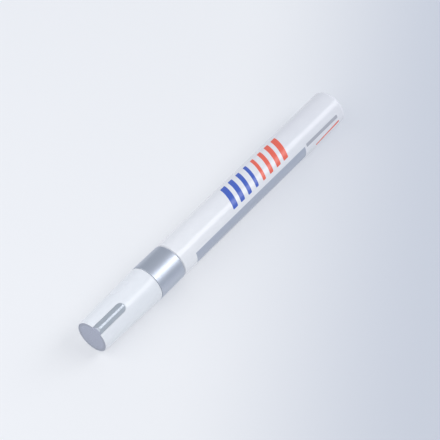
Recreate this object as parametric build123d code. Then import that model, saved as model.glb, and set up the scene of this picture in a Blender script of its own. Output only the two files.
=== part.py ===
from build123d import *
import math
import os

os.makedirs("parts", exist_ok=True)

# A capped paint marker lying on its side, in millimetres.
# X runs from the cap's end to the barrel's, Z is up, and the middle of its resting line is the origin.

# Clearances
overrun = 1.0                # how far a cutting tool reaches past what it cuts
press_clearance = 0.03       # radial room between pieces pressed together
running_clearance = 0.09     # radial room round a piece that slides in a bore
cap_clearance = 0.15         # radial room between the cap and what it sits on
cap_gap = 0.07               # open line between the cap's mouth and the collar
seat_gap = 0.06              # room between faces of pieces that stop against each other

# Barrel
barrel_diameter = 14.4
barrel_length = 97.2         # what shows behind the collar
barrel_wall = 0.45
barrel_end_wall = 0.9
barrel_end_round = 1.8
barrel_shoulder_length = 0.5

# Collar ring
collar_length = 12.8
collar_wall = 0.65
collar_front_step = 0.2      # how far it stands proud of the barrel at its front
collar_rear_step = 0.07      # and at its rear
collar_lip = 0.6
collar_front_round = 0.12
collar_rear_round = 0.35

# Cap shell
cap_length = 30.0            # with its end plug
cap_mouth_step = 0.1         # how far its mouth stands back from the collar
cap_draft = 0.75             # radius lost from mouth to end
cap_mouth_wall = 1.15
cap_wall = 1.2
cap_mouth_round = 0.15
cap_lead_in = 0.3
cap_seat_relief = 0.4
cap_end_lip = 0.2            # thickness of the lip round the plug's flange
cap_end_round = 0.08
cap_rib_count = 6
cap_rib_width = 0.9

# Cap plug
plug_flange = 0.5
plug_flange_round = 0.12
plug_spigot_length = 3.0
plug_spigot_wall = 1.0
tongue_width = 3.7
tongue_length = 14.4
tongue_rise = 0.5            # from the cap's surface to the flat land along its middle
tongue_land = 0.8            # width of that land
tongue_land_round = 0.35
tongue_drop = 0.2            # from the cap's surface down to its edges
tongue_sink = 0.8            # and down to its underside
tongue_corner_round = 1.35   # corner where it runs into the flange's face
tongue_end_round = 0.75      # and at its far end
tongue_clearance = 0.06
tongue_turn = 23.2           # degrees from the top towards the front

# Cap liner
liner_wall = 0.7
liner_end_wall = 0.9
liner_flange = 0.8
liner_end_round = 0.5
liner_lead_in = 0.3
liner_mouth_gap = 0.2
liner_end_gap = 0.3

# Nib holder
holder_flange = 1.5
holder_plug_length = 9.0
holder_plug_relief = 0.25
holder_seal_width = 0.9
holder_seal_pitch = 3.0
holder_seal_count = 2
neck_length = 6.0
bead_place = 2.4             # from the collar's front to the middle of the click bead
bead_width = 1.0
bead_height = 0.08
shoulder_length = 2.5
nose_length = 5.0
nose_tip_share = 0.385       # of the room inside the cap that the nose's wall and the liner's ribs fill
nose_root_share = 0.64
nose_tip_round = 0.35
vent_count = 4
vent_width = 0.7
vent_depth = 0.35

# Nib
nib_diameter = 4.2
nib_reach = 5.0              # what stands out of the nose
nib_cone_length = 3.0
nib_tip_diameter = 1.6
nib_tip_round = 0.65
nib_cone_round = 2.0
nib_travel = 2.2
nib_travel_spare = 0.3

# Valve
seat_depth = 4.5             # from the collar's front to the seat's front face
seat_length = 2.4
seat_hole_diameter = 3.0
seat_cone = 1.0              # depth and rise of its 45 degree cone
chamber_share = 0.28         # of the neck's wall round the nib that is cut away for paint
chamber_lead = 3.5           # nib that stands free in the chamber
seat_step = 0.4
stem_pin_diameter = 2.2
stem_tail_diameter = 1.6
stem_tail_reach = 0.5
poppet_inset = 0.1
poppet_thickness = 0.8
cage_wall = 0.6
cage_end_wall = 0.8
cage_reach = 3.9             # what stands out behind the holder's plug
window_count = 4
window_width = 2.4
window_margin = 0.4
spring_diameter = 3.4        # to the middle of the wire
spring_wire = 0.4
spring_quarter_turns = 22

# Mixing ball
ball_diameter = 6.0
ball_clearance = 0.1
ball_end_gap = 0.3

# Stations along the axis
overall_length = cap_length + collar_length + barrel_length
cap_end_x = -overall_length / 2
collar_front_x = cap_end_x + cap_length
collar_rear_x = collar_front_x + collar_length
barrel_end_x = collar_rear_x + barrel_length
bore_end_x = barrel_end_x - barrel_end_wall
barrel_front_x = collar_front_x + collar_lip + holder_flange
barrel_full_x = collar_rear_x + barrel_shoulder_length
holder_flange_x = collar_front_x + collar_lip
holder_plug_end_x = barrel_front_x + holder_plug_length
neck_end_x = collar_front_x - neck_length
shoulder_end_x = neck_end_x - shoulder_length
nose_tip_x = shoulder_end_x - nose_length
nib_tip_x = nose_tip_x - nib_reach
seat_front_x = collar_front_x + seat_depth
seat_rear_x = seat_front_x + seat_length
seat_cone_x = seat_rear_x - seat_cone
nib_rear_x = seat_front_x - nib_travel - nib_travel_spare
chamber_front_x = nib_rear_x - chamber_lead
cage_rear_x = holder_plug_end_x + cage_reach
cage_floor_x = cage_rear_x - cage_end_wall
stem_end_x = cage_rear_x + stem_tail_reach
cap_mouth_x = collar_front_x - cap_gap
cap_seat_x = neck_end_x - cap_seat_relief
plug_face_x = cap_end_x + plug_flange
spigot_end_x = plug_face_x + plug_spigot_length
liner_end_x = spigot_end_x + liner_end_gap
liner_floor_x = liner_end_x + liner_end_wall
liner_mouth_x = shoulder_end_x - liner_mouth_gap
liner_flange_x = liner_mouth_x - liner_flange

tongue_half_width = tongue_width / 2
tongue_straight_end = tongue_length - tongue_half_width

# Radii
barrel_radius = barrel_diameter / 2
bore_radius = barrel_radius - barrel_wall
collar_front_radius = barrel_radius + collar_front_step
collar_rear_radius = barrel_radius + collar_rear_step
collar_bore_radius = collar_rear_radius - collar_wall
barrel_neck_radius = collar_bore_radius - press_clearance
neck_bore_radius = barrel_neck_radius - barrel_wall
cap_mouth_radius = collar_front_radius - cap_mouth_step
cap_end_radius = cap_mouth_radius - cap_draft
flange_seat_radius = cap_end_radius - cap_end_lip
flange_radius = flange_seat_radius - press_clearance
cap_seat_radius = cap_mouth_radius - cap_mouth_wall
neck_radius = cap_seat_radius - cap_clearance
seal_radius = neck_bore_radius - press_clearance
holder_plug_radius = seal_radius - holder_plug_relief
nib_radius = nib_diameter / 2
nib_bore_radius = nib_radius + running_clearance
chamber_radius = nib_radius + (neck_radius - nib_radius) * chamber_share
valve_bore_radius = chamber_radius + seat_step
cage_radius = valve_bore_radius - press_clearance
seat_hole_radius = seat_hole_diameter / 2
seat_mouth_radius = seat_hole_radius + seat_cone
poppet_radius = seat_mouth_radius - poppet_inset
stem_pin_radius = stem_pin_diameter / 2
stem_tail_radius = stem_tail_diameter / 2
ball_radius = ball_diameter / 2
axis_height = collar_front_radius

# The poppet's cone lies parallel to the seat's, one gap behind it
poppet_front_x = seat_cone_x + seat_gap + stem_pin_radius - seat_hole_radius
poppet_edge_x = seat_cone_x + seat_gap + poppet_radius - seat_hole_radius
poppet_back_x = poppet_edge_x + poppet_thickness

# The spring fills the room between the poppet and the cage's floor
spring_radius = spring_diameter / 2
spring_end_room = spring_wire / 2 + seat_gap
spring_front_x = poppet_back_x + spring_end_room
spring_quarter_pitch = (cage_floor_x - spring_end_room - spring_front_x) / spring_quarter_turns

# The ball lies on the barrel's floor, by its rear end
ball_x = bore_end_x - ball_end_gap - ball_radius
ball_drop = bore_radius - ball_clearance - ball_radius


def cap_radius(station):
    """Outside radius of the tapered cap at a station."""
    return cap_end_radius + cap_draft * (station - cap_end_x) / cap_length


def cap_inner_radius(station):
    """Inside radius of the cap behind its seat."""
    return cap_radius(station) - cap_wall


# The nose's wall and the ribs round the liner share what the cap leaves free round the nib
nose_room = cap_inner_radius(liner_end_x) - liner_wall - cap_clearance - nib_bore_radius
nose_tip_radius = nib_bore_radius + nose_room * nose_tip_share
nose_root_radius = nib_bore_radius + nose_room * nose_root_share
liner_bore_radius = nose_root_radius + cap_clearance
liner_radius = liner_bore_radius + liner_wall


def turned(*outline):
    """Solid turned about the X axis from (station, radius) points of its half outline."""
    return revolve(make_face(Polyline(*outline, close=True)), Axis.X)


def rod(start, end, radius):
    """Round bar about the X axis."""
    return turned((start, 0), (start, radius), (end, radius), (end, 0))


def rim(piece, station, radius):
    """Circular edge of a turned piece nearest to a station and a radius."""
    circles = piece.edges().filter_by(GeomType.CIRCLE)
    return circles.sort_by(lambda edge: abs(edge.arc_center.X - station) + abs(edge.radius - radius))[0]


def around(piece, count, first_turn=0):
    """Copies of a piece spread evenly about the X axis."""
    return [Rot(X=first_turn + 360 * number / count) * piece for number in range(count)]


def make_barrel_tube():
    outside = turned(
        (barrel_front_x, 0),
        (barrel_front_x, barrel_neck_radius),
        (collar_rear_x, barrel_neck_radius),
        (barrel_full_x, barrel_radius),
        (barrel_end_x, barrel_radius),
        (barrel_end_x, 0),
    )
    outside = fillet(rim(outside, barrel_end_x, barrel_radius), barrel_end_round)
    inside = turned(
        (barrel_front_x - overrun, 0),
        (barrel_front_x - overrun, neck_bore_radius),
        (collar_rear_x, neck_bore_radius),
        (barrel_full_x, bore_radius),
        (bore_end_x, bore_radius),
        (bore_end_x, 0),
    )
    inside = fillet(rim(inside, bore_end_x, bore_radius), barrel_end_round - barrel_wall)
    return outside - inside


def make_collar_ring():
    outside = turned(
        (collar_front_x, 0),
        (collar_front_x, collar_front_radius),
        (collar_rear_x, collar_rear_radius),
        (collar_rear_x, 0),
    )
    outside = fillet(rim(outside, collar_front_x, collar_front_radius), collar_front_round)
    outside = fillet(rim(outside, collar_rear_x, collar_rear_radius), collar_rear_round)
    lip_hole = rod(collar_front_x - overrun, collar_rear_x, neck_radius + press_clearance)
    sleeve_hole = rod(holder_flange_x, collar_rear_x + overrun, collar_bore_radius)
    return outside - lip_hole - sleeve_hole


def make_nib_holder():
    body = turned(
        (nose_tip_x, 0),
        (nose_tip_x, nose_tip_radius),
        (shoulder_end_x, nose_root_radius),
        (neck_end_x, neck_radius),
        (holder_flange_x, neck_radius),
        (holder_flange_x, barrel_neck_radius),
        (barrel_front_x, barrel_neck_radius),
        (barrel_front_x, holder_plug_radius),
        (holder_plug_end_x, holder_plug_radius),
        (holder_plug_end_x, 0),
    )
    body = fillet(rim(body, nose_tip_x, nose_tip_radius), nose_tip_round)
    bead_x = collar_front_x - bead_place
    bead = turned(
        (bead_x - bead_width / 2, 0),
        (bead_x - bead_width / 2, neck_radius),
        (bead_x, neck_radius + bead_height),
        (bead_x + bead_width / 2, neck_radius),
        (bead_x + bead_width / 2, 0),
    )
    body += bead
    for number in range(holder_seal_count):
        seal_x = barrel_front_x + holder_seal_pitch * (number + 1) - holder_seal_width
        body += rod(seal_x, seal_x + holder_seal_width, seal_radius)
    body -= rod(nose_tip_x - overrun, seat_front_x, nib_bore_radius)
    body -= rod(chamber_front_x, seat_front_x, chamber_radius)
    body -= rod(seat_front_x, holder_plug_end_x + overrun, valve_bore_radius)
    vent_reach = nib_bore_radius + vent_depth
    vent_length = chamber_front_x - nose_tip_x + 2 * overrun
    vent = Pos(nose_tip_x - overrun, 0, 0) * Box(
        vent_length, vent_width, vent_reach, align=(Align.MIN, Align.CENTER, Align.MIN)
    )
    for groove in around(vent, vent_count):
        body -= groove
    return body


def make_nib():
    body = turned(
        (nib_tip_x, 0),
        (nib_tip_x, nib_tip_diameter / 2),
        (nib_tip_x + nib_cone_length, nib_radius),
        (nib_rear_x, nib_radius),
        (nib_rear_x, 0),
    )
    body = fillet(rim(body, nib_tip_x + nib_cone_length, nib_radius), nib_cone_round)
    return fillet(rim(body, nib_tip_x, nib_tip_diameter / 2), nib_tip_round)


def make_valve_seat():
    body = rod(seat_front_x, seat_rear_x, valve_bore_radius - press_clearance)
    hole = turned(
        (seat_front_x - overrun, 0),
        (seat_front_x - overrun, seat_hole_radius),
        (seat_cone_x, seat_hole_radius),
        (seat_rear_x + overrun, seat_mouth_radius + overrun),
        (seat_rear_x + overrun, 0),
    )
    return body - hole


def make_valve_stem():
    return turned(
        (nib_rear_x, 0),
        (nib_rear_x, stem_pin_radius),
        (poppet_front_x, stem_pin_radius),
        (poppet_edge_x, poppet_radius),
        (poppet_back_x, poppet_radius),
        (poppet_back_x, stem_tail_radius),
        (stem_end_x, stem_tail_radius),
        (stem_end_x, 0),
    )


def make_valve_cage():
    body = rod(seat_rear_x, cage_rear_x, cage_radius)
    body -= rod(seat_rear_x - overrun, cage_floor_x, cage_radius - cage_wall)
    body -= rod(seat_rear_x, cage_rear_x + overrun, stem_tail_radius + running_clearance)
    window_start = holder_plug_end_x + window_margin
    window_length = cage_floor_x - window_margin - window_start
    window = Pos(window_start, 0, 0) * Box(
        window_length, window_width, cage_radius + overrun, align=(Align.MIN, Align.CENTER, Align.MIN)
    )
    for opening in around(window, window_count):
        body -= opening
    return body


def spring_point(quarters):
    """Point and direction of the spring's wire after a number of quarter turns."""
    angle = quarters * math.pi / 2
    across = Vector(0, math.cos(angle), math.sin(angle)) * spring_radius
    point = across + Vector(spring_front_x + spring_quarter_pitch * quarters, 0, 0)
    turning = Vector(0, -math.sin(angle), math.cos(angle)) * spring_radius * math.pi / 2
    return point, (turning + Vector(spring_quarter_pitch, 0, 0)).normalized()


def quarter_turn(start, start_way, end, end_way):
    """Two tangent arcs from one point and direction to another, with tangent legs of equal length."""
    chord = end - start
    ways = start_way + end_way
    along = chord.dot(ways)
    bend = ways.dot(ways) - 4
    leg = (along - math.sqrt(along**2 - bend * chord.dot(chord))) / bend
    first_knee = start + start_way * leg
    last_knee = end - end_way * leg
    middle = (first_knee + last_knee) * 0.5
    first_arc = TangentArc(start, middle, tangent=start_way)
    return [first_arc, TangentArc(middle, end, tangent=last_knee - first_knee)]


def spring_path():
    """The wire's middle line: quarter turns of a helix, with a straight run at each end."""
    first, first_way = spring_point(0)
    last, last_way = spring_point(spring_quarter_turns)
    lead = first - first_way * spring_wire
    path = [Line(lead, first)]
    for quarter in range(spring_quarter_turns):
        path += quarter_turn(*spring_point(quarter), *spring_point(quarter + 1))
    return Wire(path + [Line(last, last + last_way * spring_wire)])


def make_valve_spring():
    path = spring_path()
    section = Plane(origin=path @ 0, z_dir=path % 0) * Circle(spring_wire / 2)
    spring = sweep(section, path=path)
    wire_volume = math.pi * spring_wire**2 / 4 * path.length
    print(f"spring volume against section times length: {spring.volume / wire_volume:.4f}")
    print(f"spring's least gap to itself: {least_spring_gap(path):.3f} mm")
    return spring


def least_spring_gap(path):
    """Smallest free distance between turns, on points at least half a turn apart."""
    count = 8 * spring_quarter_turns
    points = [path @ (number / count) for number in range(count + 1)]
    half_turn = 2 * count // spring_quarter_turns
    pairs = [(a, b) for i, a in enumerate(points) for b in points[i + half_turn :]]
    return min((a - b).length for a, b in pairs) - spring_wire


def make_mixing_ball():
    return Pos(ball_x, 0, -ball_drop) * Sphere(ball_radius)


def on_cap_side(piece):
    """Lay a piece on the cap's side: its X along the tongue's middle line, its Z out of the cap."""
    lean = math.atan2(cap_draft, cap_length)
    along = (math.cos(lean), 0, math.sin(lean))
    outward = (-math.sin(lean), 0, math.cos(lean))
    side = Plane(origin=(cap_end_x, 0, cap_end_radius), x_dir=along, z_dir=outward)
    return Rot(X=tongue_turn) * (side * piece)


def tongue_section():
    """Section across the tongue: a low roof with a narrow flat land along its top, on upright sides."""
    outline = Polyline(
        (-tongue_half_width, -tongue_sink),
        (tongue_half_width, -tongue_sink),
        (tongue_half_width, -tongue_drop),
        (tongue_land / 2, tongue_rise),
        (-tongue_land / 2, tongue_rise),
        (-tongue_half_width, -tongue_drop),
        close=True,
    )
    land_edges = make_face(outline).vertices().group_by(Axis.Y)[-1]
    return Plane.YZ * fillet(land_edges, tongue_land_round)


def tongue_plan(half_width, start):
    """Outline of the tongue as seen from outside the cap, round at its far end."""
    plan = Pos(start, 0) * Rectangle(
        tongue_straight_end - start, 2 * half_width, align=(Align.MIN, Align.CENTER)
    )
    return plan + Pos(tongue_straight_end, 0) * Circle(half_width)


def make_tongue():
    """Strip on the cap's side, from the flange's face to its round far end."""
    strip = extrude(tongue_section(), tongue_length)
    outline = Pos(0, 0, -tongue_sink - overrun) * tongue_plan(tongue_half_width, 0)
    strip &= extrude(outline, tongue_sink + tongue_rise + 2 * overrun)
    profile = Polyline(
        (-overrun, -tongue_sink - overrun),
        (-overrun, tongue_rise),
        (tongue_length, tongue_rise),
        (tongue_length, -tongue_sink - overrun),
        close=True,
    )
    far_top = make_face(profile).vertices().sort_by(lambda corner: corner.X + corner.Y)[-1]
    side = Plane.XZ * fillet(far_top, tongue_end_round)
    return on_cap_side(strip & extrude(side, tongue_width, both=True))


def make_tongue_corner():
    """Cutter for the rounded corner that carries the flange's face over into the tongue's land."""
    depth = tongue_corner_round - tongue_rise
    set_back = depth * cap_draft / cap_length
    slot_width = tongue_width + 2 * tongue_clearance
    reach = tongue_corner_round + overrun
    block = Pos(-overrun, 0, -depth) * Box(
        reach, slot_width, reach, align=(Align.MIN, Align.CENTER, Align.MIN)
    )
    roller = Rot(X=90) * Cylinder(tongue_corner_round, slot_width + overrun)
    return on_cap_side(Pos(-set_back, 0, 0) * (block - Pos(tongue_corner_round, 0, -depth) * roller))


def make_tongue_slot():
    """Cutter for the slot that the tongue lies in, open at the cap's end."""
    half_width = tongue_half_width + tongue_clearance
    inner_radius = cap_inner_radius(cap_end_x)
    inner_sag = inner_radius - math.sqrt(inner_radius**2 - half_width**2)
    depth = cap_wall + inner_sag + seat_gap
    return on_cap_side(Pos(0, 0, -depth) * extrude(tongue_plan(half_width, -overrun), depth + overrun))


def make_cap_shell():
    outside = turned(
        (cap_end_x, 0),
        (cap_end_x, cap_end_radius),
        (cap_mouth_x, cap_radius(cap_mouth_x)),
        (cap_mouth_x, 0),
    )
    outside = fillet(rim(outside, cap_end_x, cap_end_radius), cap_end_round)
    outside = fillet(rim(outside, cap_mouth_x, cap_mouth_radius), cap_mouth_round)
    flange_seat = rod(cap_end_x - overrun, plug_face_x, flange_seat_radius)
    inside = turned(
        (plug_face_x - overrun, 0),
        (plug_face_x - overrun, cap_inner_radius(plug_face_x - overrun)),
        (cap_seat_x, cap_inner_radius(cap_seat_x)),
        (cap_seat_x, cap_seat_radius),
        (cap_mouth_x - cap_lead_in, cap_seat_radius),
        (cap_mouth_x + overrun, cap_seat_radius + cap_lead_in + overrun),
        (cap_mouth_x + overrun, 0),
    )
    shell = outside - flange_seat - inside - make_tongue_slot()
    rib_outline = Polyline(
        (liner_end_x, liner_radius + press_clearance),
        (liner_flange_x, liner_radius + press_clearance),
        (liner_flange_x, cap_radius(liner_flange_x) - cap_wall / 2),
        (liner_end_x, cap_radius(liner_end_x) - cap_wall / 2),
        close=True,
    )
    rib = extrude(Plane.XZ * make_face(rib_outline), cap_rib_width / 2, both=True)
    for copy in around(rib, cap_rib_count, tongue_turn + 180 / cap_rib_count):
        shell += copy
    return shell


def make_cap_liner():
    outer_radius = cap_inner_radius(liner_flange_x) - press_clearance
    body = turned(
        (liner_end_x, 0),
        (liner_end_x, liner_radius),
        (liner_flange_x, liner_radius),
        (liner_flange_x, outer_radius),
        (liner_mouth_x, outer_radius),
        (liner_mouth_x, 0),
    )
    body = fillet(rim(body, liner_end_x, liner_radius), liner_end_round)
    body -= rod(liner_floor_x, liner_mouth_x + overrun, liner_bore_radius)
    return chamfer(rim(body, liner_mouth_x, liner_bore_radius), liner_lead_in)


def make_cap_plug():
    flange = rod(cap_end_x, plug_face_x, flange_radius)
    flange = fillet(rim(flange, cap_end_x, flange_radius), plug_flange_round)
    root_radius = cap_inner_radius(plug_face_x) - press_clearance
    end_radius = cap_inner_radius(spigot_end_x) - press_clearance
    spigot = turned(
        (plug_face_x, root_radius - plug_spigot_wall),
        (plug_face_x, root_radius),
        (spigot_end_x, end_radius),
        (spigot_end_x, end_radius - plug_spigot_wall),
    )
    return flange + spigot + make_tongue() - make_tongue_corner()


makers = {
    "barrel_tube": make_barrel_tube,
    "collar_ring": make_collar_ring,
    "nib_holder": make_nib_holder,
    "nib": make_nib,
    "valve_seat": make_valve_seat,
    "valve_stem": make_valve_stem,
    "valve_spring": make_valve_spring,
    "valve_cage": make_valve_cage,
    "mixing_ball": make_mixing_ball,
    "cap_shell": make_cap_shell,
    "cap_liner": make_cap_liner,
    "cap_plug": make_cap_plug,
}

for name, make in makers.items():
    export_step(Pos(0, 0, axis_height) * make(), f"parts/{name}.step")
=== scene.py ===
import functools
import math
import random

import bmesh
import bpy
from mathutils import Matrix, Vector


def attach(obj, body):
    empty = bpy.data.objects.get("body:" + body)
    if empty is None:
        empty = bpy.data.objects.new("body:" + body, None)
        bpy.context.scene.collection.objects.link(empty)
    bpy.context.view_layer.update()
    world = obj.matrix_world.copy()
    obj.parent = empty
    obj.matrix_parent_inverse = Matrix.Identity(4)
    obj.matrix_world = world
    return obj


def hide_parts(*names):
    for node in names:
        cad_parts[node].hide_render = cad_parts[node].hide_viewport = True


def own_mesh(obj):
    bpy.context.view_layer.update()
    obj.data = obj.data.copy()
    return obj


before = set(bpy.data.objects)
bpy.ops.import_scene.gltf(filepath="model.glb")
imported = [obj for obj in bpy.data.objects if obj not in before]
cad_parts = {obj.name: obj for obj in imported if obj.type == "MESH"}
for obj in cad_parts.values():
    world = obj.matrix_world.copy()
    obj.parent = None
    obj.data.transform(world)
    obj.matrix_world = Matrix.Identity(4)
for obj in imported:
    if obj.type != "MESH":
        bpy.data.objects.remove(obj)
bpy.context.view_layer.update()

# A capped paint marker lying on a pale table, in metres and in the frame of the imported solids:
# X runs from the cap's end to the rear end, the front is -Y and the table is Z = 0.
# Half outlines, and the places that materials read, are in millimetres.
MM = 0.001
AXIS_HEIGHT = 7.4 * MM
BARREL_RADIUS_MM = 7.2
TONGUE_TURN = math.radians(23.2)


# Node materials


class Finish:
    """A Principled material whose look comes from nodes in the piece's own coordinates."""

    def __init__(self, name, **uniform):
        self.material = bpy.data.materials.new(name)
        self.material.use_nodes = True
        self.tree = self.material.node_tree
        self.tree.nodes.clear()
        self.shader = self.node("BsdfPrincipled")
        self.surface = self.node("OutputMaterial").inputs["Surface"]
        self.feed(self.surface, self.shader.outputs[0])
        self.place = self.node("TexCoord").outputs["Object"]
        self.set(**uniform)

    def node(self, kind):
        return self.tree.nodes.new("ShaderNode" + kind)

    def feed(self, socket, value):
        if isinstance(value, bpy.types.NodeSocket):
            self.tree.links.new(value, socket)
        else:
            socket.default_value = value

    def set(self, **values):
        for name, value in values.items():
            self.feed(self.shader.inputs[name.replace("_", " ")], value)

    # Arithmetic

    def math(self, operation, *values):
        node = self.node("Math")
        node.operation = operation
        for socket, value in zip(node.inputs, values):
            self.feed(socket, value)
        return node.outputs[0]

    def plus(self, first, second):
        return self.math("ADD", first, second)

    def minus(self, first, second):
        return self.math("SUBTRACT", first, second)

    def times(self, first, second):
        return self.math("MULTIPLY", first, second)

    def absolute(self, value):
        return self.math("ABSOLUTE", value)

    def length(self, first, second):
        return self.math("SQRT", self.plus(self.times(first, first), self.times(second, second)))

    def most(self, first, *others):
        for other in others:
            first = self.math("MAXIMUM", first, other)
        return first

    def vector(self, *parts):
        node = self.node("CombineXYZ")
        for socket, value in zip(node.inputs, parts):
            self.feed(socket, value)
        return node.outputs[0]

    def remap(self, value, source, target=(0.0, 1.0), kind="LINEAR"):
        """The value carried from one range to another, and held at its ends."""
        node = self.node("MapRange")
        node.interpolation_type = kind
        names = ("Value", "From Min", "From Max", "To Min", "To Max")
        for name, item in zip(names, (value, *source, *target)):
            self.feed(node.inputs[name], item)
        return node.outputs[0]

    def ease(self, value, source, target=(0.0, 1.0)):
        return self.remap(value, source, target, "SMOOTHSTEP")

    def mix(self, share, first, second):
        """A colour between two others, each a socket or a red, green and blue."""
        node = self.node("Mix")
        node.data_type = "RGBA"
        share_socket, first_socket, second_socket = (node.inputs[index] for index in (0, 6, 7))
        self.feed(share_socket, share)
        for socket, colour in ((first_socket, first), (second_socket, second)):
            self.feed(socket, (*colour, 1.0) if isinstance(colour, tuple) else colour)
        return node.outputs[2]

    # Textures

    def noise(self, scale, detail, where=None):
        node = self.node("TexNoise")
        self.feed(node.inputs["Vector"], self.place if where is None else where)
        node.inputs["Scale"].default_value = scale
        node.inputs["Detail"].default_value = detail
        return node.outputs[0]

    def streaks(self, per_mm, per_radian, detail, layer=0.0):
        """Noise drawn out along or round the marker; each layer is a pattern of its own."""
        along, turn = self.times(self.along(), per_mm), self.times(self.turn(), per_radian)
        return self.noise(1.0, detail, self.vector(along, turn, layer))

    def flakes(self, scale):
        node = self.node("TexVoronoi")
        self.feed(node.inputs["Vector"], self.place)
        node.inputs["Scale"].default_value = scale
        return node.outputs["Color"]

    def bump(self, height, strength, distance, under=None):
        node = self.node("Bump")
        node.inputs["Strength"].default_value = strength
        node.inputs["Distance"].default_value = distance
        self.feed(node.inputs["Height"], height)
        if under is not None:
            self.feed(node.inputs["Normal"], under)
        return node.outputs[0]

    # Places on the marker

    @functools.cached_property
    def from_axis(self):
        """Metres along the marker, and in front of and above its axis."""
        split = self.node("SeparateXYZ")
        self.feed(split.inputs[0], self.place)
        x, y, z = split.outputs
        return x, self.times(y, -1.0), self.minus(z, AXIS_HEIGHT)

    def along(self):
        """Millimetres along the marker."""
        return self.times(self.from_axis[0], 1 / MM)

    def radius(self):
        """Millimetres from the marker's axis."""
        return self.times(self.length(*self.from_axis[1:]), 1 / MM)

    def turn(self):
        """Radians round the marker, from its top towards its front."""
        return self.math("ARCTAN2", *self.from_axis[1:])

    # Printed shapes

    def rounded_bar(self, along, across, straight, corner, soft=0.04):
        """One inside a rounded bar about the zero of both coordinates, and none outside it.

        The straight half sizes, along and across, leave out the corner's radius.
        """
        past_end = self.most(self.minus(self.absolute(along), straight[0]), 0.0)
        past_side = self.most(self.minus(self.absolute(across), straight[1]), 0.0)
        outside = self.minus(self.length(past_end, past_side), corner)
        return self.remap(outside, (-soft, soft), (1.0, 0.0))

    def printed_bar(self, along, across, middle, half, corner):
        """A rounded bar with its middle and its half sizes given along and across."""
        along, across = self.minus(along, middle[0]), self.minus(across, middle[1])
        return self.rounded_bar(along, across, (half[0] - corner, half[1] - corner), corner)


def slanted_bars(f, along, across):
    """A row of eight slanted bars, broad at both ends of the row and narrow in its middle.

    Gives where their ink lies, and which places belong to the later half of the row.
    """
    row_start, pitch, lean = 4.4, 4.3, 0.32
    middle_number, half_count = 3.5, 4.0
    middle_across, half_height, corner = 1.1, 5.0, 0.35
    least_half_width, widening = 0.72, 0.17

    leaned = f.plus(along, f.times(across, lean))
    steps = f.math("DIVIDE", f.minus(leaned, row_start), pitch)
    number = f.math("FLOOR", steps)
    from_middle = f.times(f.minus(f.minus(steps, number), 0.5), pitch)
    from_row_middle = f.absolute(f.minus(number, middle_number))
    straight_width = f.plus(f.times(from_row_middle, widening), least_half_width - corner)
    straight = (half_height - corner, straight_width)
    bars = f.rounded_bar(f.minus(across, middle_across), from_middle, straight, corner)
    in_row = f.math("LESS_THAN", from_row_middle, half_count)
    return f.times(bars, in_row), f.math("GREATER_THAN", number, middle_number)


def barrel_lacquer():
    """Gloss white lacquer, printed with generic bars, a plain grey strip and two fine lines."""
    f = Finish("barrel_white_lacquer", IOR=1.53)
    along = f.along()
    across = f.times(f.turn(), BARREL_RADIUS_MM)

    bars, later = slanted_bars(f, along, across)
    strip = f.printed_bar(along, across, middle=(12.5, 11.6), half=(32.5, 3.6), corner=0.15)
    fine = f.printed_bar(along, across, middle=(55.6, 8.2), half=(9.6, 0.75), corner=0.3)
    red_middle, red_lean = (58.5, 11.6), 0.09
    red_across = f.plus(across, f.times(f.minus(along, red_middle[0]), red_lean))
    red = f.printed_bar(along, red_across, red_middle, half=(7.2, 0.55), corner=0.3)
    ink = f.most(bars, strip, fine, red)

    # Painted shade: the white lacquer is drawn a little greyer towards the rear end, where the
    # light falls off
    cloud = f.noise(140.0, detail=3.0)
    front_white = f.mix(cloud, (0.812, 0.822, 0.860), (0.845, 0.855, 0.89))
    rear_shaded_white = f.mix(cloud, (0.757, 0.767, 0.82), (0.792, 0.80, 0.85))
    white = f.mix(f.ease(along, (-25.0, 60.0)), front_white, rear_shaded_white)
    ink_grain = f.noise(5200.0, detail=1.0)
    blue = f.mix(ink_grain, (0.050, 0.110, 0.50), (0.070, 0.140, 0.56))
    orange = f.mix(ink_grain, (0.80, 0.125, 0.085), (0.86, 0.155, 0.105))
    strip_grey = f.mix(ink_grain, (0.385, 0.42, 0.515), (0.43, 0.468, 0.565))
    line_grey = f.mix(ink_grain, (0.40, 0.41, 0.47), (0.46, 0.47, 0.53))
    colour = f.mix(strip, white, strip_grey)
    colour = f.mix(bars, colour, f.mix(later, blue, orange))
    colour = f.mix(fine, colour, line_grey)
    colour = f.mix(red, colour, orange)

    # Rubbed lacquer on the rear end
    scuffs = f.remap(f.noise(900.0, detail=4.0), (0.52, 0.68), (0.0, 0.35))
    rubbed = f.times(f.ease(along, (67.6, 69.6)), scuffs)
    colour = f.mix(rubbed, colour, (0.60, 0.61, 0.63))

    smears = f.remap(f.noise(60.0, detail=4.0), (0.35, 0.7), (0.10, 0.17))
    rough = f.plus(smears, f.times(ink, 0.10))
    peel = f.bump(f.noise(620.0, detail=1.5), strength=0.06, distance=0.05 * MM)
    film = f.bump(ink, strength=0.25, distance=0.02 * MM, under=peel)
    f.set(Base_Color=colour, Roughness=rough, Normal=film)
    return f.material


def collar_metal():
    """Satin aluminium, turned, so its fine lines run round it."""
    f = Finish("collar_satin_aluminium", Metallic=1.0)
    lines = f.streaks(per_mm=9.0, per_radian=0.9, detail=3.0)
    broad = f.streaks(per_mm=0.7, per_radian=0.5, detail=2.0, layer=4.0)
    colour = f.mix(lines, (0.522, 0.558, 0.632), (0.585, 0.622, 0.700))
    fine_rough = f.remap(lines, (0.3, 0.7), (0.37, 0.48))
    rough = f.plus(fine_rough, f.remap(broad, (0.3, 0.7), (-0.02, 0.03)))
    grooves = f.bump(lines, strength=0.10, distance=0.04 * MM)
    f.set(Base_Color=colour, Roughness=rough, Normal=grooves)
    return f.material


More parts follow.
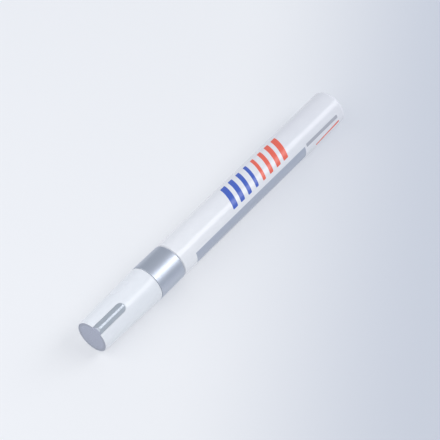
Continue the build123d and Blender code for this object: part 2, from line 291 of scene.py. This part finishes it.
def cap_plastic():
    """Gloss white moulded plastic with a faint mould texture."""
    f = Finish("cap_white_plastic", IOR=1.53)
    cloud = f.noise(110.0, detail=3.0)
    colour = f.mix(cloud, (0.787, 0.813, 0.858), (0.820, 0.843, 0.886))
    rough = f.remap(f.noise(75.0, detail=4.0), (0.35, 0.7), (0.21, 0.30))
    ripple = f.bump(f.noise(380.0, detail=2.0), strength=0.05, distance=0.05 * MM)
    f.set(Base_Color=colour, Roughness=rough, Normal=ripple)
    return f.material


def plug_plastic():
    """Silver-grey moulded plastic with fine metallic flakes.

    Its tongue is drawn lighter than its face, a painted light on one plastic, and a painted shade
    darkens the face along its rim, except where the tongue starts.
    """
    f = Finish("plug_silver_plastic")
    flakes = f.flakes(5200.0)
    cloud = f.times(f.noise(160.0, detail=3.0), 0.25)
    from_tongue = f.absolute(f.minus(f.turn(), TONGUE_TURN))
    # Painted shade along the face's rim, left out where the tongue starts
    near_edge = f.ease(f.radius(), (4.9, 5.7), (0.0, 0.45))
    painted_rim_shade = f.times(near_edge, f.remap(from_tongue, (0.30, 0.42)))
    behind = f.ease(f.along(), (-69.85, -69.25))

    face = f.mix(flakes, (0.415, 0.44, 0.528), (0.49, 0.52, 0.622))
    face = f.mix(cloud, face, (0.405, 0.43, 0.525))
    face = f.mix(painted_rim_shade, face, (0.30, 0.32, 0.37))
    # Painted light: the tongue is drawn in lighter copies of the face's plastic
    tongue = f.mix(flakes, (0.50, 0.54, 0.59), (0.59, 0.64, 0.70))
    tongue = f.mix(cloud, tongue, (0.485, 0.525, 0.59))
    rough = f.remap(f.noise(900.0, detail=3.0), (0.3, 0.7), (0.26, 0.36))
    rough = f.plus(rough, f.times(behind, 0.09))
    metallic = f.remap(flakes, (0.0, 1.0), (0.70, 0.90))
    grain = f.bump(f.noise(2600.0, detail=2.0), strength=0.05, distance=0.03 * MM)
    f.set(Base_Color=f.mix(behind, face, tongue), Metallic=metallic, Roughness=rough, Normal=grain)
    return f.material


def natural_plastic(name, dull, clear, roughness):
    """Undyed moulded plastic, waxy and slightly cloudy."""
    f = Finish(name, IOR=1.5, Subsurface_Weight=0.12, Subsurface_Scale=0.8 * MM)
    colour = f.mix(f.noise(300.0, detail=4.0), dull, clear)
    rough = f.remap(f.noise(700.0, detail=3.0), (0.3, 0.7), roughness)
    grain = f.bump(f.noise(1500.0, detail=3.0), strength=0.06, distance=0.04 * MM)
    f.set(Base_Color=colour, Roughness=rough, Normal=grain)
    return f.material


def nib_fibre():
    """Pressed fibre: pale strands that run along the nib, with darker pores between them."""
    f = Finish("nib_pressed_fibre", Sheen_Weight=0.2, Sheen_Roughness=0.6, IOR=1.45)
    strands = f.streaks(per_mm=0.9, per_radian=16.0, detail=4.0)
    solid = f.remap(f.noise(4200.0, detail=2.0), (0.40, 0.56))
    pores = f.remap(solid, (0.0, 1.0), (0.30, 0.0))
    colour = f.mix(strands, (0.70, 0.69, 0.655), (0.84, 0.835, 0.81))
    colour = f.mix(pores, colour, (0.50, 0.485, 0.45))
    rough = f.remap(strands, (0.3, 0.7), (0.78, 0.95))
    pits = f.bump(solid, strength=0.25, distance=0.06 * MM)
    ridges = f.bump(strands, strength=0.5, distance=0.1 * MM, under=pits)
    f.set(Base_Color=colour, Roughness=rough, Normal=ridges)
    return f.material


def steel(name, dark, bright, roughness, scale):
    """Bare steel with fine handling marks."""
    f = Finish(name, Metallic=1.0)
    marks = f.noise(scale, detail=4.0)
    rough = f.remap(marks, (0.35, 0.7), roughness)
    scratches = f.bump(marks, strength=0.06, distance=0.03 * MM)
    f.set(Base_Color=f.mix(marks, dark, bright), Roughness=rough, Normal=scratches)
    return f.material


# Meshes


def rounded_profile(corners, arc_steps=8):
    """Half outline of (station, radius) points from (station, radius, rounding) corners."""
    points = []
    for index, (x, r, size) in enumerate(corners):
        here = Vector((x, r))
        if size == 0 or index in (0, len(corners) - 1):
            points.append(here)
            continue
        back = (Vector(corners[index - 1][:2]) - here).normalized()
        ahead = (Vector(corners[index + 1][:2]) - here).normalized()
        half = back.angle(ahead) / 2
        centre = here + (back + ahead).normalized() * (size / math.sin(half))
        start = here + back * (size / math.tan(half)) - centre
        end = here + ahead * (size / math.tan(half)) - centre
        for step in range(arc_steps + 1):
            share = step / arc_steps
            arm = (start * (1 - share) + end * share).normalized() * size
            points.append(centre + arm)
    return points


def join_rings(bm, rings):
    """Faces between neighbouring rings, with fans where a ring is one point."""
    for first, second in zip(rings, rings[1:]):
        count = max(len(first), len(second))
        for side in range(count):
            after = (side + 1) % count
            corners = [first[side % len(first)], first[after % len(first)]]
            corners += [second[after % len(second)], second[side % len(second)]]
            bm.faces.new(list(dict.fromkeys(corners)))


def turned_mesh(profile, sides, height, sunk=None):
    """A closed mesh round an axis along X, at a height in metres, from a half outline.

    sunk(station, radius, angle) says how many millimetres a point lies below the outline.
    """
    smallest_radius = 1e-6
    bm = bmesh.new()
    rings = []
    for x, r in profile:
        if r < smallest_radius:
            rings.append([bm.verts.new((x * MM, 0, height))])
            continue
        ring = []
        for side in range(sides):
            angle = math.tau * side / sides
            reach = (r - sunk(x, r, angle) if sunk else r) * MM
            y, z = reach * math.sin(angle), height + reach * math.cos(angle)
            ring.append(bm.verts.new((x * MM, y, z)))
        rings.append(ring)
    join_rings(bm, rings)
    return bm


def nib_mesh():
    """The nib, turned, with shallow furrows between its fibres, all below its nominal surface."""
    tip, shoulder, tail = -58.5, -55.5, -38.0
    tip_radius, radius = 0.8, 2.1
    corners = [
        (tip, 0.0, 0),
        (tip, tip_radius, 0.65),
        (shoulder, radius, 2.0),
        (tail, radius, 0.15),
        (tail, 0.0, 0),
    ]
    longest_step, sides = 0.5, 192
    furrow_depth, full_from_radius = 0.045, 1.2
    random.seed(7)
    waves = [
        (random.randint(24, 84), random.uniform(0, math.tau), random.uniform(-0.5, 0.5))
        for _ in range(14)
    ]

    def furrow(x, r, angle):
        phases = (count * angle + start + drift * x for count, start, drift in waves)
        wave = sum(math.sin(phase) for phase in phases) / len(waves)
        return max(0.0, furrow_depth * min(1.0, r / full_from_radius) * (0.5 + 0.9 * wave))

    outline = rounded_profile(corners)
    profile = []
    for start, end in zip(outline, outline[1:]):
        count = max(1, int((end - start).length / longest_step))
        profile += [start.lerp(end, step / count) for step in range(count)]
    profile.append(outline[-1])
    return turned_mesh(profile, sides, AXIS_HEIGHT, furrow)


def ball_mesh():
    """The stirring ball at the barrel's rear end, turned, so its poles have no folded faces."""
    radius, middle, height = 3.0, 65.8, 3.75
    steps, sides = 32, 64
    profile = []
    for step in range(steps + 1):
        slant = math.pi * step / steps
        profile.append((middle - radius * math.cos(slant), radius * math.sin(slant)))
    return turned_mesh(profile, sides, height * MM)


def spring_mesh():
    """The valve spring: a round wire on a helix, from the poppet to the cage's floor."""
    front, rear, radius, wire_radius = -32.08, -26.06, 1.7, 0.2
    quarter_turns, steps, sides = 22, 8, 12
    axis = Vector((0, 0, AXIS_HEIGHT))
    rise = (rear - front) / quarter_turns
    slope = rise / (radius * math.pi / 2)
    bm = bmesh.new()
    rings = []
    for number in range(quarter_turns * steps + 1):
        quarters = number / steps
        angle = quarters * math.pi / 2
        out = Vector((0, math.cos(angle), math.sin(angle)))
        way = Vector((slope, -math.sin(angle), math.cos(angle))).normalized()
        across = way.cross(out)
        middle = Vector((front + rise * quarters, 0, 0)) + out * radius
        ring = []
        for side in range(sides):
            turn = math.tau * side / sides
            point = middle + (out * math.cos(turn) + across * math.sin(turn)) * wire_radius
            ring.append(bm.verts.new(point * MM + axis))
        rings.append(ring)
    join_rings(bm, rings)
    bm.faces.new(rings[0])
    bm.faces.new(rings[-1])
    return bm


def new_object(name, data):
    made = bpy.data.objects.new(name, data)
    bpy.context.scene.collection.objects.link(made)
    return made


def finished_mesh(name, bm, material):
    mesh = bpy.data.meshes.new(name)
    bm.to_mesh(mesh)
    bm.free()
    mesh.materials.append(material)
    return mesh


def mesh_piece(name, body, node, material, bm):
    """A smooth piece that stands for a CAD node and moves with its body."""
    bmesh.ops.recalc_face_normals(bm, faces=bm.faces)
    mesh = finished_mesh(name, bm, material)
    for face in mesh.polygons:
        face.use_smooth = True
    piece = new_object(name, mesh)
    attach(piece, body)
    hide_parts(node)
    return piece


# Dressing the solids

holder_white = natural_plastic(
    "holder_natural_plastic", (0.775, 0.785, 0.785), (0.82, 0.828, 0.825), roughness=(0.26, 0.38)
)
liner_white = natural_plastic(
    "liner_natural_plastic", (0.74, 0.755, 0.76), (0.79, 0.80, 0.80), roughness=(0.34, 0.46)
)
valve_white = natural_plastic(
    "valve_natural_plastic", (0.76, 0.765, 0.755), (0.80, 0.805, 0.795), roughness=(0.30, 0.42)
)
ball_steel = steel(
    "ball_polished_steel", (0.60, 0.605, 0.61), (0.66, 0.665, 0.67), (0.07, 0.16), scale=900.0
)
spring_steel = steel(
    "spring_drawn_steel", (0.52, 0.52, 0.525), (0.60, 0.60, 0.605), (0.20, 0.34), scale=2400.0
)

dressed = {
    "barrel_tube": ("barrel_lacquer", barrel_lacquer()),
    "collar_ring": ("collar_metal", collar_metal()),
    "nib_holder": ("holder_plastic", holder_white),
    "valve_seat": ("valve_plastic", valve_white),
    "valve_stem": ("valve_plastic", valve_white),
    "valve_cage": ("valve_plastic", valve_white),
    "cap_shell": ("cap_plastic", cap_plastic()),
    "cap_liner": ("liner_plastic", liner_white),
    "cap_plug": ("plug_plastic", plug_plastic()),
}
for node, (slot, material) in dressed.items():
    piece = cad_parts[node]
    piece.data.materials.clear()
    piece.data.materials.append(material)

mesh_piece("nib_felt", "nib_group", "nib", nib_fibre(), nib_mesh())
mesh_piece("stirring_ball", "ball", "mixing_ball", ball_steel, ball_mesh())
spring = mesh_piece(
    "valve_spring_coil", "barrel", "valve_spring", spring_steel, spring_mesh()
)
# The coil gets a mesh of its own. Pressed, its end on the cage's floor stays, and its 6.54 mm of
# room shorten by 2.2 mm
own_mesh(spring)


# Stage


def pale_floor():
    """A wide round floor, pale and matt, with a painted shade that turns it to a pale blue-grey on
    one side.
    """
    radius, segments = 3.0, 128
    glow_share = 0.5
    shaded_way, farther_way = (0.502, -0.880, 0.0), (0.780, 0.626, 0.0)

    f = Finish("floor_pale", IOR=1.3, Roughness=0.85)
    f.set(Base_Color=f.mix(f.noise(6.0, detail=2.0), (0.855, 0.858, 0.862), (0.87, 0.872, 0.875)))

    def reach(way):
        node = f.node("VectorMath")
        node.operation = "DOT_PRODUCT"
        f.feed(node.inputs[0], f.place)
        f.feed(node.inputs[1], way)
        return node.outputs["Value"]

    # Half of what is seen of the floor is a pale glow of its own, so that the shadow stays faint;
    # the glow carries a painted shade towards one side and a painted light farther away
    glow = f.node("Emission")
    painted_side_shade = f.ease(reach(shaded_way), (-0.0092, 0.0893))
    f.feed(glow.inputs["Color"], f.mix(painted_side_shade, (0.835, 0.862, 0.929), (0.371, 0.436, 0.590)))
    # Painted light: the glow is drawn a little brighter farther away
    f.feed(glow.inputs["Strength"], f.remap(reach(farther_way), (-0.120, 0.120), (0.963, 1.037)))
    rays = f.node("LightPath").outputs
    seen = f.most(rays["Is Camera Ray"], rays["Is Glossy Ray"], rays["Is Transmission Ray"])
    blend = f.node("MixShader")
    shaders = (f.times(seen, glow_share), f.shader.outputs[0], glow.outputs[0])
    for socket, value in zip(blend.inputs, shaders):
        f.feed(socket, value)
    f.feed(f.surface, blend.outputs[0])

    bm = bmesh.new()
    bmesh.ops.create_circle(bm, cap_ends=True, segments=segments, radius=radius)
    floor = new_object("floor", finished_mesh("floor", bm, f.material))


def pale_world():
    """A pale room, brighter towards the marker's rear end."""
    world = bpy.data.worlds.new("pale_room")
    world.use_nodes = True
    tree = world.node_tree
    shade = tree.nodes["Background"]
    shade.inputs["Color"].default_value = (0.90, 0.955, 1.04, 1.0)
    place = tree.nodes.new("ShaderNodeTexCoord")
    split = tree.nodes.new("ShaderNodeSeparateXYZ")
    grade = tree.nodes.new("ShaderNodeMapRange")
    grade.inputs["To Min"].default_value = 0.40
    grade.inputs["To Max"].default_value = 0.79
    tree.links.new(place.outputs["Generated"], split.inputs[0])
    tree.links.new(split.outputs["X"], grade.inputs["Value"])
    tree.links.new(grade.outputs[0], shade.inputs["Strength"])
    bpy.context.scene.world = world


def softbox(name, direction, distance, width, height, watts, colour=(1.0, 1.0, 1.0)):
    """A rectangular lamp that faces the marker's middle, its height running round the X axis."""
    lamp = bpy.data.lights.new(name, "AREA")
    lamp.shape = "RECTANGLE"
    lamp.size, lamp.size_y = width, height
    lamp.energy = watts
    lamp.color = colour
    away = Vector(direction).normalized()
    upward = Vector((1, 0, 0)).cross(away).normalized()
    side = upward.cross(away)
    holder = new_object(name, lamp)
    holder.matrix_world = Matrix((side, upward, away)).transposed().to_4x4()
    holder.location = Vector((0, 0, AXIS_HEIGHT)) + away * distance


def photo_camera():
    """A long lens from above the cap's front side, shifted to the photograph's framing."""
    turn, rise, distance = math.radians(-51.248), math.radians(51.147), 0.750
    image_pixels, right_pixels, down_pixels = 440, 3.27, 3.72
    lens = bpy.data.cameras.new("photo_camera")
    lens.sensor_width = 36.0
    lens.lens = 166.58
    lens.shift_x = right_pixels / image_pixels
    lens.shift_y = -down_pixels / image_pixels
    lens.clip_start, lens.clip_end = 0.01, 50.0
    level = math.cos(rise)
    back = Vector((math.sin(turn) * level, -math.cos(turn) * level, math.sin(rise)))
    camera = new_object("photo_camera", lens)
    camera.location = Vector((0, 0, AXIS_HEIGHT)) + back * distance
    camera.rotation_mode = "QUATERNION"
    camera.rotation_quaternion = (-back).to_track_quat("-Z", "Y")
    bpy.context.scene.camera = camera


pale_floor()
pale_world()
softbox("key_softbox", (0.489, -0.482, 0.727), distance=1.60, width=1.20, height=0.69, watts=7.65)
softbox(
    "fill_softbox", (-0.686, 0.237, 0.664), distance=0.34, width=0.48, height=0.48, watts=0.77,
    colour=(1.0, 0.99, 0.98),
)
softbox("rear_softbox", (0.85, -0.35, 0.40), distance=1.20, width=0.50, height=0.50, watts=2.19)
photo_camera()
bpy.context.scene.view_settings.view_transform = "Standard"
